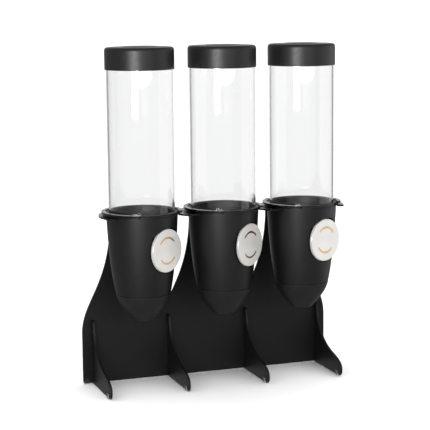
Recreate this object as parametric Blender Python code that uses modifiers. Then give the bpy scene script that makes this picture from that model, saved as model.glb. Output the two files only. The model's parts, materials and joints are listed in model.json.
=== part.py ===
"""Triple dry-food dispenser: three clear canisters with knob-turned metering wheels on one black stand.

Metres, +Z up. The origin is on the floor under the middle of the object's box. The front faces -Y.
Each canister is built about the Z axis with its knob towards -Y, then placed and turned by an empty.
"""

import math

import bmesh
import bpy
from mathutils import Matrix, Vector

# Whole object
GAP = 0.0003  # left between pieces that touch
SIDES = ("left", "middle", "right")
SPACING = 0.143  # between neighbouring canister axes
TURNS = (31.5, 35.5, 25.5)  # how far each canister stands turned in its ring, degrees towards +X
COLLAR_TURNS = (23.2, 22.5, 19.2)  # the same for the middle of each collar's opening
KNOB_TURNS = (2.0, 0.0, -8.0)  # each knob about its own axis at rest, degrees anticlockwise from the front

# Stand: sheet parts
SHEET = 0.0035
PANEL_SETBACK = 0.093  # canister axes to the panel's front face
PANEL_OVERHANG = 0.0827  # outer canister axis to the panel's side edge
SHOULDER_Z = 0.088  # where the side edge starts to curve in towards the neck
NECK_HALF = 0.0295
NECK_Z = 0.285  # where the curve ends, at the shelf
SHOULDER_PULLS = ((PANEL_OVERHANG, 0.146), (0.031, 0.170))  # the curve's two control points
VALLEY_START = 0.345  # share of the shoulder curve that the rounded valley between necks replaces
VALLEY_PULL = 0.003
PANEL_CORNER = 0.004
FLOOR_GAP = 0.001  # the sheets' lower edges stand this far up, on the feet

SHELF_BOTTOM = 0.3026
SHELF_T = 0.0028
SHELF_TOP = SHELF_BOTTOM + SHELF_T
LOBE_R = 0.072  # outer radius of the shelf round each canister
MOUTH_R = 0.0602  # radius of the shelf's opening
SHELF_FRONT = 0.036  # canister axes to the shelf's straight front edge
KNOB_WAY = 0.0375  # half the width that the opening leaves for the knob to pass
TIP_R = 0.004  # rounding of the shelf's tips beside an opening
END_TIP_R = 0.003  # rounding where the front edge meets the left lobe
RIGHT_TIP_R = 0.005  # rounding where the last opening meets the right lobe
FINGER_HALF = 0.015  # half the width of the finger joint between neck and shelf

RIB_T = 0.0035
RIB_X = (-0.208, -0.0715, 0.0715, 0.208)
RIB_TOP = 0.112
RIB_NOSE = 0.0085  # reach of a rib's top edge
RIB_REACH = 0.118
RIB_CHAMFER = 0.002
RIB_HOLLOW = ((RIB_NOSE + RIB_CHAMFER, RIB_TOP - RIB_CHAMFER), (0.013, 0.075), (0.030, 0.047), (0.080, 0.035))
RIB_TOE = (RIB_HOLLOW[3], (0.095, 0.0314), (RIB_REACH, 0.026), (RIB_REACH, 0.013))
RIB_TIP = (RIB_TOE[3], (RIB_REACH, 0.006), (RIB_REACH - 0.003, FLOOR_GAP), (RIB_REACH - 0.009, FLOOR_GAP))
TENONS_Z = ((0.022, 0.042), (0.072, 0.092))  # each rib's two tenons through the panel

CLIP_WALL = 0.0012
CLIP_SIZE = 0.009  # height and length of a foot clip
CLIP_REACH = 0.1035  # panel's front face to the middle of a rib's foot clip
CLIP_INSET = 0.0055  # panel's side edge to the middle of its foot clip

# Canister
HOPPER_TOP = 0.3105
HOPPER_RIM_R = 0.0597
SEAM_Z = 0.1731  # the hopper's lower edge
SEAM_R = 0.046
SEAM_CHAMFER = (0.0008, 0.0007)  # on the nozzle's upper edge: inwards and down
OUTLET_Z = 0.1275
OUTLET_R = 0.017
HOPPER_CURVE = ((0.0595, SHELF_TOP), (0.0575, 0.265), (0.0545, 0.215), (SEAM_R, SEAM_Z))
NOZZLE_PULLS = ((0.0435, 0.160), (0.036, 0.147))
COLLAR_R = 0.0672
COLLAR_T = 0.003  # the collar's lip
COLLAR_FOOT_R = 0.063
COLLAR_FOOT_T = 0.0032  # the collar's narrower foot, which carries its lip clear of the shelf
COLLAR_HALF_OPENING = 44.2  # degrees from the middle of the opening to the middle of each rounded tip
GROOVE_R = 0.0582
GROOVE_TOP = SHELF_TOP + COLLAR_FOOT_T + 2 * GAP
HOPPER_WALL = 0.0042
SPIGOT_R = 0.0396  # the hopper's lower end, inside the nozzle
SPIGOT_WALL = 0.0022
SPIGOT_Z = 0.163
SPIGOT_ROOT = 0.003  # thickness of the hopper's floor round the spigot
NOZZLE_WALL = 0.0032
TUBE_R = 0.055
TUBE_WALL = 0.003
LEDGE_Z = 0.290  # the hopper's inner ledge, which the tube stands on
LEDGE_R = 0.0522
LEDGE_FOOT = ((0.0546, 0.284), (LEDGE_R, 0.287))  # slope that carries the ledge
TUBE_TOP = 0.575
LID_R = 0.0572
LID_BOTTOM = 0.544
LID_TOP = 0.5815
LID_CEILING = 0.5779
LID_DISC = ((0.0295, LID_TOP), (0.0305, LID_TOP - 0.0005))  # edge of the raised middle
LID_RIM_DROP = 0.0012
LID_CURVE = ((LID_R - 0.0057, LID_TOP - LID_RIM_DROP), (LID_R - 0.0017, LID_TOP - LID_RIM_DROP),
             (LID_R, 0.578), (LID_R, 0.574))
LID_PLAY = 0.0004
SEAL_R = 0.0518

# Metering wheel and knob: distances along the knob's axis are counted outwards from the canister's axis
KNOB_Z = 0.2493
KNOB_R = 0.0361
KNOB_FACE = 0.0550
KNOB_BACK = 0.0510
KNOB_SHEET = 0.0018
KNOB_SKIRT = 0.0012
KNOB_EDGE = 0.0009  # bevel round the knob's face
POCKET_R = 0.0383
POCKET_FLOOR = 0.0484
POCKET_WALL = 0.003
POCKET_LIMIT = ((0.0575, LEDGE_Z - GAP), (0.0500, 0.200))  # a cone inside the hopper's outer face
BUSH_R = 0.0100
BUSH_FLANGE_R = 0.013
BUSH_FLANGE_T = 0.001
BUSH_INNER = 0.0445
HUB_R = 0.008
HUB_INNER = 0.038
HUB_PLAY = 0.0004
GROOVE_MIDDLE = 0.0429  # of the groove in the hub, which holds the spindle's clip
GROOVE_HALF = 0.0008  # half its width, and its depth
CLIP_T = 0.001
CLIP_R = 0.0112
CLIP_HALF_ARC = 130  # degrees of the clip's ring on each side
SQUARE = 0.0065  # the spindle's square drive
SPINDLE_END = 0.0485
JOURNAL_R = 0.0046
JOURNAL_INSETS = (0.0001, 0.0004)  # its ends from the barrel's end wall and from the hub
TAIL_R = 0.0032
TAIL_END = -0.0404
REAR_BUSH_R = 0.0049
REAR_BOSS_R = 0.0075
REAR_BOSS_END = -0.042
WHEEL_R = 0.033
WHEEL_HALF = 0.0332
WHEEL_HUB_R = 0.009
PADDLES = 6
PADDLE_T = 0.0022
PADDLE_INSET = 0.0002  # the paddles' ends behind the hub's
PADDLE_TURN = 30.0  # degrees from the knob's slots to the first paddle
CHAMBER_R = 0.034
CHAMBER_HALF = 0.0338
CHAMBER_WALL = 0.0022
CHUTE_HALF = (0.022, 0.031)  # half width and half length of the barrel's lower opening
CHUTE_DROP = 0.020  # the opening's level below the knob's axis
DECK_Z = 0.2625
DECK_T = 0.0025
DECK_R = 0.0532
SLOT_R = 0.0214  # middle of the knob's two arc slots
SLOT_W = 0.0032
SLOT_HALF = 49.0  # degrees each side of the vertical

OVERLAP = 0.0004  # of pieces that a union joins
THROUGH = 0.012  # how far a cutter reaches past what it cuts

BIG = 24  # facets round a piece turned about the canister's axis
MEDIUM = 24  # facets round the knob and the barrel of the wheel
SMALL = 12  # facets round a bush, journal or hub

# The object's front is the edge of a knob's face, and its back is the outer leg of the panel's foot clips
FRONT_REACH = max(KNOB_FACE * math.cos(turn) + (KNOB_R - KNOB_EDGE) * math.sin(turn)
                  for turn in map(math.radians, TURNS))
BACK_REACH = PANEL_SETBACK + SHEET + GAP + CLIP_WALL
AXIS_Y = (FRONT_REACH - BACK_REACH) / 2
PANEL_Y = AXIS_Y + PANEL_SETBACK  # the panel's front face
AXES_X = (-SPACING, 0.0, SPACING)

KNOB_FRAME = Matrix.Translation((0, 0, KNOB_Z)) @ Matrix.Rotation(math.radians(90), 4, "X")


# ---------------------------------------------------------------- scene and materials

for old in list(bpy.data.objects):
    bpy.data.objects.remove(old)

PARTS = bpy.data.collections.new("cereal_dispenser")
CUTTERS = bpy.data.collections.new("cutters")
for collection in (PARTS, CUTTERS):
    bpy.context.scene.collection.children.link(collection)


def material(name, colour, roughness, metallic=0.0, transmission=0.0):
    made = bpy.data.materials.new(name)
    made.use_nodes = True
    shader = made.node_tree.nodes["Principled BSDF"]
    shader.inputs["Base Color"].default_value = (*colour, 1)
    shader.inputs["Roughness"].default_value = roughness
    shader.inputs["Metallic"].default_value = metallic
    shader.inputs["Transmission Weight"].default_value = transmission
    return made


# ---------------------------------------------------------------- outlines

def bezier(p0, p1, p2, p3, count, start=0.0):
    """Points on a cubic curve from share `start` to its end, both included."""
    points = []
    for i in range(count):
        t = start + (1 - start) * i / (count - 1)
        s = 1 - t
        shares = (s**3, 3 * s * s * t, 3 * s * t * t, t**3)
        x, y = (sum(k * p[axis] for k, p in zip(shares, (p0, p1, p2, p3))) for axis in (0, 1))
        points.append((x, y))
    return points


def arc(x, y, radius, start, end, count):
    """Points on an arc, angles in degrees, both ends included."""
    angles = [math.radians(start + (end - start) * i / (count - 1)) for i in range(count)]
    return [(x + radius * math.cos(a), y + radius * math.sin(a)) for a in angles]


def rounded(before, corner, after, radius, count=4):
    """The corner replaced by an arc that is tangent to both of its sides."""
    corner = Vector(corner)
    one = (Vector(before) - corner).normalized()
    two = (Vector(after) - corner).normalized()
    half = one.angle(two) / 2
    middle = corner + (one + two).normalized() * radius / math.sin(half)
    first = corner + one * radius / math.tan(half) - middle
    last = corner + two * radius / math.tan(half) - middle
    sweep = first.angle_signed(last)
    points = []
    for i in range(count):
        a = -sweep * i / (count - 1)
        points.append((middle.x + first.x * math.cos(a) - first.y * math.sin(a),
                       middle.y + first.x * math.sin(a) + first.y * math.cos(a)))
    return points


def shifted(points, dx):
    return [(x + dx, y) for x, y in points]


def mirrored(points):
    """The points mirrored in x and taken in the other direction."""
    return [(-x, y) for x, y in reversed(points)]


# ---------------------------------------------------------------- solids

def evaluated_mesh(obj):
    """The object's mesh with its modifiers applied. The object itself is removed."""
    graph = bpy.context.evaluated_depsgraph_get()
    mesh = bpy.data.meshes.new_from_object(obj.evaluated_get(graph))
    bpy.data.objects.remove(obj)
    return mesh


def working_object(name, data):
    obj = bpy.data.objects.new(name, data)
    CUTTERS.objects.link(obj)
    return obj


def from_bmesh(bm, name="working"):
    mesh = bpy.data.meshes.new(name)
    bm.to_mesh(mesh)
    bm.free()
    return working_object(name, mesh)


def plate(outlines, thickness):
    """A flat sheet in the XY plane, centred on z = 0. Outlines after the first are holes."""
    curve = bpy.data.curves.new("outline", "CURVE")
    curve.dimensions = "2D"
    curve.fill_mode = "BOTH"
    curve.extrude = thickness / 2
    for outline in outlines:
        spline = curve.splines.new("POLY")
        spline.points.add(len(outline) - 1)
        for point, (x, y) in zip(spline.points, outline):
            point.co = (x, y, 0, 1)
        spline.use_cyclic_u = True
    mesh = evaluated_mesh(working_object("sheet", curve))
    bm = bmesh.new()
    bm.from_mesh(mesh)
    bmesh.ops.remove_doubles(bm, verts=bm.verts, dist=1e-6)
    return from_bmesh(bm, "sheet")


def turned(profile, steps, closed=True):
    """A profile of (radius, z) swept round Z. It runs down the outer side and up the inner one."""
    mesh = bpy.data.meshes.new("profile")
    edges = [(i, i + 1) for i in range(len(profile) - 1)]
    if closed:
        edges.append((len(profile) - 1, 0))
    mesh.from_pydata([(r, 0, z) for r, z in profile], edges, [])
    obj = working_object("turned", mesh)
    screw = obj.modifiers.new("Turn", "SCREW")
    screw.steps = screw.render_steps = steps
    screw.use_merge_vertices = not closed
    screw.merge_threshold = 1e-5
    return working_object("turned", evaluated_mesh(obj))


def block(low, high):
    bm = bmesh.new()
    bmesh.ops.create_cube(bm, size=1)
    bmesh.ops.scale(bm, vec=Vector(high) - Vector(low), verts=bm.verts)
    bmesh.ops.translate(bm, vec=(Vector(low) + Vector(high)) / 2, verts=bm.verts)
    return from_bmesh(bm)


def rod(radius, low, high, steps=SMALL):
    """A cylinder round Z from height `low` to `high`."""
    bm = bmesh.new()
    bmesh.ops.create_cone(bm, cap_ends=True, segments=steps, radius1=radius, radius2=radius, depth=high - low)
    bmesh.ops.translate(bm, vec=(0, 0, (low + high) / 2), verts=bm.verts)
    return from_bmesh(bm)


def across(obj):
    """Lays a working piece made about Z along the knob's axis, its +Z outwards."""
    obj.matrix_world = KNOB_FRAME
    return obj


def combined(obj, *steps):
    """Applies Boolean steps of (operation, other object) in turn and removes the others."""
    for operation, other in steps:
        cut = obj.modifiers.new(operation, "BOOLEAN")
        cut.operation = operation
        cut.solver = "EXACT"
        cut.object = other
        bpy.context.view_layer.update()
        matrix = obj.matrix_world.copy()
        obj = working_object("combined", evaluated_mesh(obj))
        obj.matrix_world = matrix
        bpy.data.objects.remove(other)
    return obj


def finish(obj, finish_material, smooth=True):
    """The working object's mesh, with its material and shading, ready to be placed."""
    mesh = obj.data
    bpy.data.objects.remove(obj)
    mesh.materials.clear()
    mesh.materials.append(finish_material)
    if smooth:
        mesh.shade_smooth()
        mesh.set_sharp_from_angle(angle=math.radians(35))
    return mesh


def place(name, mesh, matrix, parent=None):
    part = bpy.data.objects.new(name, mesh)
    PARTS.objects.link(part)
    part.parent = parent
    part.matrix_local = matrix
    return part


def place_each(kind, mesh, parents, matrix=Matrix.Identity(4)):
    """One copy of the piece for each canister."""
    for side, parent in zip(SIDES, parents):
        place(f"{kind}_{side}", mesh, matrix, parent)


def empty(name, matrix, parent=None):
    made = bpy.data.objects.new(name, None)
    PARTS.objects.link(made)
    made.empty_display_size = 0.02
    made.parent = parent
    made.matrix_local = matrix
    return made


# ---------------------------------------------------------------- stand

def shoulder(start=0.0, count=12):
    """Half of a neck's outline as (half width, z), from the shoulder up."""
    return bezier((PANEL_OVERHANG, SHOULDER_Z), *SHOULDER_PULLS, (NECK_HALF, NECK_Z), count, start)


def valley(flank):
    """The rounded bottom between two necks, seen from the left one's axis."""
    last, before = Vector(flank[0]), Vector(flank[1])
    on = last + (last - before).normalized() * VALLEY_PULL
    return bezier(last, on, (SPACING - on.x, on.y), (SPACING - last.x, last.y), 6)[1:-1]


def back_panel(finish_material):
    neck_top = SHELF_BOTTOM - GAP
    head = [(-NECK_HALF, neck_top), (-FINGER_HALF, neck_top), (-FINGER_HALF, SHELF_TOP)]
    head += mirrored(head)
    outer, inner = shoulder(), shoulder(VALLEY_START, 9)
    outline = []
    for number, x in enumerate(AXES_X):
        rise = outer if number == 0 else inner
        fall = outer if number == 2 else inner
        outline += shifted([(-w, z) for w, z in rise], x) + shifted(head, x)
        outline += shifted(list(reversed(fall)), x)
        if number < 2:
            outline += shifted(valley(inner), x)
    corner_x, corner_z = SPACING + PANEL_OVERHANG - PANEL_CORNER, FLOOR_GAP + PANEL_CORNER
    outline += arc(corner_x, corner_z, PANEL_CORNER, 0, -90, 4)
    outline += arc(-corner_x, corner_z, PANEL_CORNER, -90, -180, 4)
    slot = RIB_T / 2 + GAP
    holes = [[(x - slot, low - GAP), (x + slot, low - GAP), (x + slot, high + GAP), (x - slot, high + GAP)]
             for x in RIB_X for low, high in TENONS_Z]
    sheet = finish(plate([outline] + holes, SHEET), finish_material, smooth=False)
    upright = Matrix.Translation((0, PANEL_Y + SHEET / 2, 0)) @ Matrix.Rotation(math.radians(90), 4, "X")
    place("back_panel", sheet, upright)


def shelf_mouth(turn):
    """The edge of one canister's opening, from the shelf's front edge round to the knob's side."""
    left = Vector((-math.sqrt((MOUTH_R + TIP_R) ** 2 - (SHELF_FRONT - TIP_R) ** 2), TIP_R - SHELF_FRONT))
    toward_axis = math.degrees(math.atan2(-left.y, -left.x))
    end = math.degrees(math.asin(KNOB_WAY / MOUTH_R)) + turn - 90
    tip = arc(left.x, left.y, TIP_R, -90, toward_axis, 5)[:-1]
    return tip + arc(0, 0, MOUTH_R, 180 + toward_axis, end, 28)


def shelf_tip(start, turn):
    """The rounded tip on the knob's side of an opening, where a bridge to the next one begins."""
    corner = (start[0] + (start[1] + SHELF_FRONT) * math.tan(math.radians(turn)), -SHELF_FRONT)
    return rounded(start, corner, (corner[0] + 1, corner[1]), TIP_R)


def shelf_right_end(start, turn):
    """The last opening's tip and the round end beyond it, up to the back of the bridges' level."""
    start, outwards = Vector(start), Vector((math.sin(math.radians(turn)), -math.cos(math.radians(turn))))
    along = start.dot(outwards)
    corner = start + outwards * (math.sqrt(along**2 - start.length_squared + LOBE_R**2) - along)
    angle = math.degrees(math.atan2(corner.y, corner.x))
    edge = math.degrees(math.asin(SHELF_FRONT / LOBE_R))
    beyond = arc(0, 0, LOBE_R, angle, edge, 10)
    return rounded(start, corner, beyond[1], RIGHT_TIP_R) + beyond[3:-1]


def shelf_left_end():
    """The round end beyond the first opening, from the back of the bridges' level to the front edge."""
    edge = math.degrees(math.asin(SHELF_FRONT / LOBE_R))
    round_end = arc(0, 0, LOBE_R, 180 - edge, 180 + edge, 12)
    corner = round_end[-1]
    return round_end[1:-2] + rounded(round_end[-2], corner, (0, corner[1]), END_TIP_R)


def shelf_back():
    """The shelf's edge behind one canister, from right to left, with the notch for the panel's finger."""
    back = PANEL_SETBACK + SHEET
    meet = math.degrees(math.acos(NECK_HALF / LOBE_R))
    edge = math.degrees(math.asin(SHELF_FRONT / LOBE_R))
    notch = [(NECK_HALF, back), (FINGER_HALF + GAP, back), (FINGER_HALF + GAP, PANEL_SETBACK - GAP)]
    right = arc(0, 0, LOBE_R, edge, meet, 4) + notch
    return right + mirrored(right)


def ring_shelf(finish_material):
    """The sheet that carries the canisters. Outlines are worked out from each canister's axis."""
    outline = []
    for x, turn in zip(AXES_X, TURNS):
        edge = shelf_mouth(turn)
        end = shelf_right_end if x == AXES_X[-1] else shelf_tip
        outline += shifted(edge + end(edge[-1], turn), x)
    for x in reversed(AXES_X):
        outline += shifted(shelf_back(), x)
    outline += shifted(shelf_left_end(), AXES_X[0])
    sheet = finish(plate([outline], SHELF_T), finish_material, smooth=False)
    place("ring_shelf", sheet, Matrix.Translation((0, AXIS_Y, SHELF_BOTTOM + SHELF_T / 2)))


def ribs(finish_material):
    """Fin-shaped feet. Their outline is (reach forward of the panel, z)."""
    outline = [(GAP, FLOOR_GAP)]
    for bottom, top in TENONS_Z:
        outline += [(GAP, bottom), (-SHEET, bottom), (-SHEET, top), (GAP, top)]
    outline += [(GAP, RIB_TOP), (RIB_NOSE, RIB_TOP)]
    outline += bezier(*RIB_HOLLOW, 11) + bezier(*RIB_TOE, 6)[1:] + bezier(*RIB_TIP, 4)[1:]
    sheet = finish(plate([outline], RIB_T), finish_material, smooth=False)
    turn = Matrix(((0, 0, -1, 0), (-1, 0, 0, PANEL_Y), (0, 1, 0, 0), (0, 0, 0, 1)))
    for number, x in enumerate(RIB_X, 1):
        place(f"rib_{number}", sheet, Matrix.Translation((x, 0, 0)) @ turn)


def foot_clips(finish_material):
    """U-shaped clips pushed onto the sheets' lower edges: one under each rib's toe and each panel corner."""
    half = SHEET / 2 + GAP
    outer = half + CLIP_WALL
    sole = FLOOR_GAP - GAP
    outline = [(-outer, 0), (outer, 0), (outer, CLIP_SIZE), (half, CLIP_SIZE), (half, sole),
               (-half, sole), (-half, CLIP_SIZE), (-outer, CLIP_SIZE)]
    clip = finish(plate([outline], CLIP_SIZE), finish_material, smooth=False)
    upright = Matrix.Rotation(math.radians(90), 4, "X")
    for number, x in enumerate(RIB_X, 1):
        place(f"toe_clip_{number}", clip, Matrix.Translation((x, PANEL_Y - CLIP_REACH, 0)) @ upright)
    inset = SPACING + PANEL_OVERHANG - CLIP_INSET
    for side, x in (("left", -inset), ("right", inset)):
        turn = Matrix.Translation((x, PANEL_Y + SHEET / 2, 0)) @ Matrix.Rotation(math.radians(90), 4, "Z")
        place(f"corner_clip_{side}", clip, turn @ upright)


# ---------------------------------------------------------------- canister: shell

def hopper_side(count=6):
    """The hopper's outer side below the collar groove, as (radius, z) from the top down."""
    return bezier(*HOPPER_CURVE, count)


def hopper_wall():
    """The hopper before its pocket is cut, with the deck's step and the tube's ledge inside it."""
    rim = [(HOPPER_RIM_R, HOPPER_TOP), (HOPPER_RIM_R, GROOVE_TOP)]
    groove = [(GROOVE_R, GROOVE_TOP), (GROOVE_R, SHELF_TOP)]
    side = hopper_side()
    inner, floor = SPIGOT_R - SPIGOT_WALL, SEAM_Z + SPIGOT_ROOT
    spigot = [(SPIGOT_R, SEAM_Z), (SPIGOT_R, SPIGOT_Z), (inner, SPIGOT_Z), (inner, floor)]
    step = DECK_Z - GAP
    inside = [(r - HOPPER_WALL, z) for r, z in reversed(side) if floor + 0.002 < z < step - 0.004]
    inside += [(DECK_R - GAP, step), (DECK_R + GAP, step), *LEDGE_FOOT]
    inside += [(LEDGE_R, LEDGE_Z), (TUBE_R + GAP, LEDGE_Z), (TUBE_R + GAP, HOPPER_TOP)]
    return turned(rim + groove + side + spigot + inside, BIG)


def hopper(finish_material):
    """The wall with the round pocket behind the knob and the hole for the knob's bush."""
    limit = turned([(0, POCKET_LIMIT[0][1]), *POCKET_LIMIT, (0, POCKET_LIMIT[1][1])], BIG, closed=False)
    boss = across(rod(POCKET_R + POCKET_WALL, POCKET_FLOOR - POCKET_WALL, HOPPER_RIM_R + THROUGH, MEDIUM))
    boss = combined(boss, ("INTERSECT", limit))
    shell = combined(
        hopper_wall(),
        ("UNION", boss),
        ("DIFFERENCE", across(rod(POCKET_R, POCKET_FLOOR, HOPPER_RIM_R + THROUGH, MEDIUM))),
        ("DIFFERENCE", across(rod(BUSH_R + GAP, POCKET_FLOOR - THROUGH, POCKET_FLOOR + THROUGH))),
    )
    return finish(shell, finish_material)


def nozzle(finish_material):
    top = SEAM_Z - GAP
    chamfer_in, chamfer_down = SEAM_CHAMFER
    side = bezier((SEAM_R, top - chamfer_down), *NOZZLE_PULLS, (OUTLET_R, OUTLET_Z), 5)
    inside = [(r - NOZZLE_WALL, z) for r, z in reversed(side) if z < SPIGOT_Z - 0.003]
    profile = [(SEAM_R - chamfer_in, top)] + side + inside
    profile += [(SPIGOT_R + GAP, SPIGOT_Z - GAP), (SPIGOT_R + GAP, top)]
    return finish(turned(profile, BIG), finish_material)


def open_ring(inner, outer, thickness):
    """A flat ring centred on z = 0, open towards the front, with rounded tips."""
    middle = (inner + outer) / 2
    half = (outer - inner) / 2
    right = COLLAR_HALF_OPENING - 90
    left = 270 - COLLAR_HALF_OPENING
    tip_x = middle * math.cos(math.radians(right))
    tip_y = middle * math.sin(math.radians(right))
    outline = arc(0, 0, outer, right, left, 24)
    outline += arc(-tip_x, tip_y, half, left, left + 180, 6)[1:-1]
    outline += arc(0, 0, inner, left, right, 24)
    outline += arc(tip_x, tip_y, half, right - 180, right, 6)[1:-1]
    return plate([outline], thickness)


def collar(finish_material):
    """An open ring that leaves the knob's side free: a foot in the hopper's groove and a wider lip on it."""
    foot = open_ring(GROOVE_R + 2 * GAP, COLLAR_FOOT_R, COLLAR_FOOT_T)
    lip = open_ring(HOPPER_RIM_R + 2 * GAP, COLLAR_R, COLLAR_T + OVERLAP)
    lip.matrix_world = Matrix.Translation((0, 0, (COLLAR_FOOT_T + COLLAR_T - OVERLAP) / 2))
    return finish(combined(foot, ("UNION", lip)), finish_material, smooth=False)


def tube(finish_material):
    inner = TUBE_R - TUBE_WALL
    low = LEDGE_Z + GAP
    profile = [(TUBE_R, TUBE_TOP), (TUBE_R, low), (inner, low), (inner, TUBE_TOP)]
    return finish(turned(profile, BIG), finish_material)


def lid(finish_material):
    """A cap with a rounded edge and a low raised disc in the middle of its top."""
    inner = TUBE_R + LID_PLAY
    profile = [(0, LID_TOP), *LID_DISC] + bezier(*LID_CURVE, 4)
    profile += [(LID_R, LID_BOTTOM), (inner, LID_BOTTOM), (inner, LID_CEILING), (0, LID_CEILING)]
    return finish(turned(profile, BIG, closed=False), finish_material)


def lid_seal(finish_material):
    low, high = TUBE_TOP + GAP, LID_CEILING - GAP
    profile = [(TUBE_R, high), (TUBE_R, low), (SEAL_R, low), (SEAL_R, high)]
    return finish(turned(profile, BIG), finish_material)


# ---------------------------------------------------------------- canister: metering wheel and knob

def slot_outline(width, half_angle, centre):
    """An arc-shaped slot with round ends about the knob's middle, centred on an angle in degrees."""
    start, end = centre - half_angle, centre + half_angle
    r = width / 2
    ends = [(SLOT_R * math.cos(math.radians(a)), SLOT_R * math.sin(math.radians(a))) for a in (start, end)]
    outline = arc(0, 0, SLOT_R + r, start, end, 8)
    outline += arc(*ends[1], r, end, end + 180, 4)[1:-1]
    outline += arc(0, 0, SLOT_R - r, end, start, 8)
    outline += arc(*ends[0], r, start + 180, start + 360, 4)[1:-1]
    return outline


def arc_bar(width, half_angle, centre, low, high):
    bar = plate([slot_outline(width, half_angle, centre)], high - low)
    bar.matrix_world = Matrix.Translation((0, 0, (low + high) / 2))
    return bar


def knob_plate(finish_material):
    """The knob's metal face: flat, with two arc slots and a rim that turns back towards the hopper."""
    back_of_face = KNOB_FACE - KNOB_SHEET
    skirt = KNOB_R - KNOB_SKIRT
    profile = [(0, KNOB_FACE), (KNOB_R - KNOB_EDGE, KNOB_FACE), (KNOB_R, KNOB_FACE - KNOB_EDGE),
               (KNOB_R, KNOB_BACK), (skirt, KNOB_BACK), (skirt, back_of_face), (0, back_of_face)]
    face = turned(profile, MEDIUM, closed=False)
    slots = [("DIFFERENCE", arc_bar(SLOT_W, SLOT_HALF, centre, back_of_face - THROUGH, KNOB_FACE + THROUGH))
             for centre in (90, 270)]
    return finish(combined(face, *slots), finish_material)


def knob_core(finish_material):
    """The knob's moulded back: it fills the slots in the face and holds the spindle's square."""
    back_of_face = KNOB_FACE - KNOB_SHEET - GAP
    radius = KNOB_R - KNOB_SKIRT - GAP
    back = KNOB_BACK + GAP
    disc = [(0, back_of_face), (radius, back_of_face), (radius, back), (0, back)]
    groove = HUB_R - GROOVE_HALF
    outer_side, inner_side = GROOVE_MIDDLE + GROOVE_HALF, GROOVE_MIDDLE - GROOVE_HALF
    hub = [(0, back + OVERLAP), (HUB_R, back + OVERLAP), (HUB_R, outer_side), (groove, outer_side),
           (groove, inner_side), (HUB_R, inner_side), (HUB_R, HUB_INNER), (0, HUB_INNER)]
    socket = SQUARE / 2 + GAP
    bars = [("UNION", arc_bar(SLOT_W - 2 * GAP, SLOT_HALF, centre, back_of_face - OVERLAP, KNOB_FACE - GAP))
            for centre in (90, 270)]
    hole = ("DIFFERENCE", block((-socket, -socket, HUB_INNER - THROUGH), (socket, socket, SPINDLE_END + GAP)))
    hub = ("UNION", turned(hub, SMALL, closed=False))
    return finish(combined(turned(disc, MEDIUM, closed=False), hub, *bars, hole), finish_material)


def spindle(finish_material):
    half = SQUARE / 2
    bar = combined(
        block((-half, -half, -WHEEL_HALF - GAP), (half, half, SPINDLE_END)),
        ("UNION", rod(JOURNAL_R, CHAMBER_HALF + JOURNAL_INSETS[0], HUB_INNER - JOURNAL_INSETS[1])),
        ("UNION", rod(TAIL_R, TAIL_END, -WHEEL_HALF)),
    )
    return finish(bar, finish_material)


def paddle_wheel(finish_material):
    """Flexible paddles on a hub. One block through the hub makes each opposite pair."""
    hub = rod(WHEEL_HUB_R, -WHEEL_HALF, WHEEL_HALF)
    half = WHEEL_HALF - PADDLE_INSET
    blades = []
    for number in range(PADDLES // 2):
        blade = block((-WHEEL_R, -PADDLE_T / 2, -half), (WHEEL_R, PADDLE_T / 2, half))
        blade.rotation_euler.z = math.radians(360 / PADDLES * number + PADDLE_TURN)
        blades.append(("UNION", blade))
    bore = SQUARE / 2 + GAP
    end = WHEEL_HALF + THROUGH
    hole = ("DIFFERENCE", block((-bore, -bore, -end), (bore, bore, end)))
    return finish(combined(hub, *blades, hole), finish_material)


def metering_chamber(finish_material):
    """A deck that closes the hopper round the wheel, with a barrel below it that is open above and below."""
    outer = CHAMBER_HALF + CHAMBER_WALL
    radius = CHAMBER_R + CHAMBER_WALL
    half_x, half_y = CHUTE_HALF
    chute = block((-half_x, -half_y, KNOB_Z - radius - THROUGH), (half_x, half_y, KNOB_Z - CHUTE_DROP))
    barrel = across(rod(radius, -outer, outer, MEDIUM))
    above = block((-DECK_R, -DECK_R, DECK_Z + DECK_T / 2), (DECK_R, DECK_R, KNOB_Z + radius + THROUGH))
    barrel = combined(barrel, ("DIFFERENCE", above))
    past = DECK_R + THROUGH
    flat = block((-past, -past, KNOB_Z - past), (past, POCKET_WALL - POCKET_FLOOR + GAP, KNOB_Z + past))
    chamber = combined(
        rod(DECK_R, DECK_Z, DECK_Z + DECK_T, BIG),
        ("UNION", barrel),
        ("UNION", across(rod(REAR_BOSS_R, REAR_BOSS_END, OVERLAP - outer))),
        ("DIFFERENCE", across(rod(CHAMBER_R, -CHAMBER_HALF, CHAMBER_HALF, MEDIUM))),
        ("DIFFERENCE", chute),
        ("DIFFERENCE", across(rod(JOURNAL_R + GAP, outer - THROUGH, outer + THROUGH))),
        ("DIFFERENCE", across(rod(REAR_BUSH_R + GAP, TAIL_END - 2 * GAP, THROUGH - outer))),
        ("DIFFERENCE", flat),
    )
    return finish(chamber, finish_material)


def front_bush(finish_material):
    flange = POCKET_FLOOR + GAP
    outer, bore = flange + BUSH_FLANGE_T, HUB_R + HUB_PLAY
    profile = [(BUSH_FLANGE_R, outer), (BUSH_FLANGE_R, flange), (BUSH_R, flange), (BUSH_R, BUSH_INNER),
               (bore, BUSH_INNER), (bore, outer)]
    return finish(turned(profile, SMALL), finish_material)


def rear_bush(finish_material):
    near, far = -CHAMBER_HALF - GAP, TAIL_END - GAP
    bore = TAIL_R + GAP
    profile = [(REAR_BUSH_R, near), (REAR_BUSH_R, far), (bore, far), (bore, near)]
    return finish(turned(profile, SMALL), finish_material)


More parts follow.
